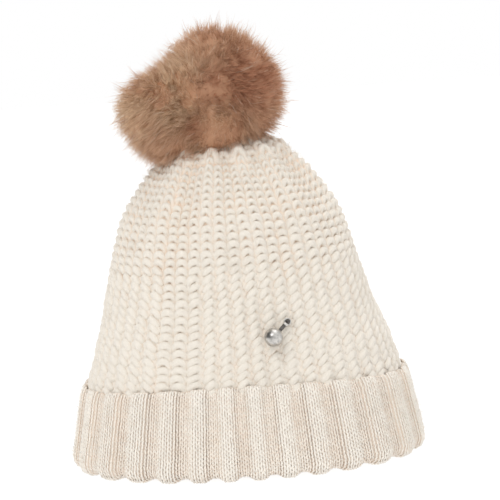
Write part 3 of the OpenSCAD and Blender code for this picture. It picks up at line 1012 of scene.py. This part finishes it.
def finish_small_pieces():
    """Metal, cord, hide, wadding, horn and thread for the pieces that keep their CAD shape."""
    coat(metal("pewter", (0.62, 0.60, 0.57), 0.22, 0.7), "charm_ball")
    coat(metal("dark_metal", (0.16, 0.15, 0.14), 0.3, 0.6), "charm_neck", "charm_post")
    coat(metal("bright_metal", (0.75, 0.73, 0.70), 0.2, 0.8), "charm_collar", "charm_ring", "charm_clutch")
    coat(spun("tie_linen", (0.55, 0.45, 0.33), (0.78, 0.70, 0.57), 260.0), "tie_knot", "pom_tie_cord",
         "pom_core_tie", "pom_gather_thread")
    coat(blotched("pelt_hide", (0.55, 0.40, 0.28), (0.74, 0.60, 0.46), 900.0, 0.7, 0.0004), "pom_pelt")
    coat(blotched("wadding_fluff", (0.80, 0.78, 0.74), (0.93, 0.92, 0.89), 600.0, 0.75, 0.001), "pom_filling")
    coat(blotched("button_horn", (0.36, 0.22, 0.12), (0.66, 0.48, 0.30), 260.0, 0.25, 0.0001,
                  Coat_Weight=0.3), "backing_button")
    coat(spun("label_thread", (0.66, 0.60, 0.52), (0.86, 0.82, 0.75), 900.0), "label_stitching")


def lay_floor():
    """A pale floor that is nearly its own light."""
    half = FLOOR_HALF
    mesh = bpy.data.meshes.new("floor")
    mesh.from_pydata([(-half, -half, 0), (half, -half, 0), (half, half, 0), (-half, half, 0)], [],
                     [(0, 1, 2, 3)])
    floor = bpy.data.objects.new("floor", mesh)
    bpy.context.scene.collection.objects.link(floor)
    finish = Finish("floor_paint", Roughness=0.9, Specular_IOR_Level=0.0, Emission_Strength=0.85,
                    Base_Color=(0.3, 0.3, 0.3, 1), Emission_Color=WHITE)
    mesh.materials.append(finish.material)


def light_sky():
    """A sky that is white to the camera, softer on the hat, and dark on one side to shiny metal."""
    world = bpy.data.worlds.new("sky")
    bpy.context.scene.world = world
    world.use_nodes = True
    sky = Nodes(world.node_tree)
    even = sky.tree.nodes["Background"]
    even.inputs["Color"].default_value = WHITE
    even.inputs["Strength"].default_value = SKY
    turn = {"Vector": sky.node("ShaderNodeTexCoord", out="Generated"), "Location": (0.5, 0, 0),
            "Scale": (0.5, 0.5, 0.5)}
    card = sky.node("ShaderNodeTexGradient", sockets={0: sky.node("ShaderNodeMapping", sockets=turn)})
    ramp = sky.node("ShaderNodeValToRGB", sockets={0: card})
    dark, bright = ramp.socket.node.color_ramp.elements
    dark.position = 0.28
    dark.color = (0.06, 0.06, 0.06, 1)
    bright.position = 0.62
    bright.color = WHITE
    mirrored = sky.node("ShaderNodeBackground", sockets={"Color": ramp})
    seen = sky.node("ShaderNodeBackground", sockets={"Color": WHITE})
    glossy = sky.node("ShaderNodeLightPath", out="Is Glossy Ray")
    mixed = sky.node("ShaderNodeMixShader", sockets={0: glossy, 1: Wire(sky, even.outputs[0]), 2: mirrored})
    mixed = sky.node("ShaderNodeMixShader", sockets={0: glossy.beside("Is Camera Ray"), 1: mixed, 2: seen})
    sky.tree.links.new(mixed.socket, sky.tree.nodes["World Output"].inputs["Surface"])


def hang_lamps():
    """Three soft lamps: the key at the front, one overhead and one behind."""
    area_light("key", (-0.5, -1.2, 1.3), 0.8, 8.0)
    area_light("top", (0.3, 0.1, 1.6), 1.0, 5.0)
    area_light("back", (0.5, 1.3, 0.9), 0.9, 6.0)
    bpy.context.scene.view_settings.view_transform = "Standard"


# ---------- build ----------

make_camera()
lay_floor()
light_sky()
hang_lamps()
knit_crown()
outer_cuff = knit_cuff()
fluff = blotched("loose_wool", (0.80, 0.72, 0.62), (0.90, 0.84, 0.76), 300.0, 0.7, 0.0001, Sheen_Weight=0.4)
fuzz("crown_fuzz", crown, 4500, 3, crown.length - 25, 2.2, "hat", fluff, wave=slump)
fuzz("cuff_fuzz", outer_cuff, 2200, 16, outer_cuff.length - 2, 0.9, "cuff", fluff,
     wave=rib_relief)
grow_fur()
hang_label(sew_seams())
finish_small_pieces()
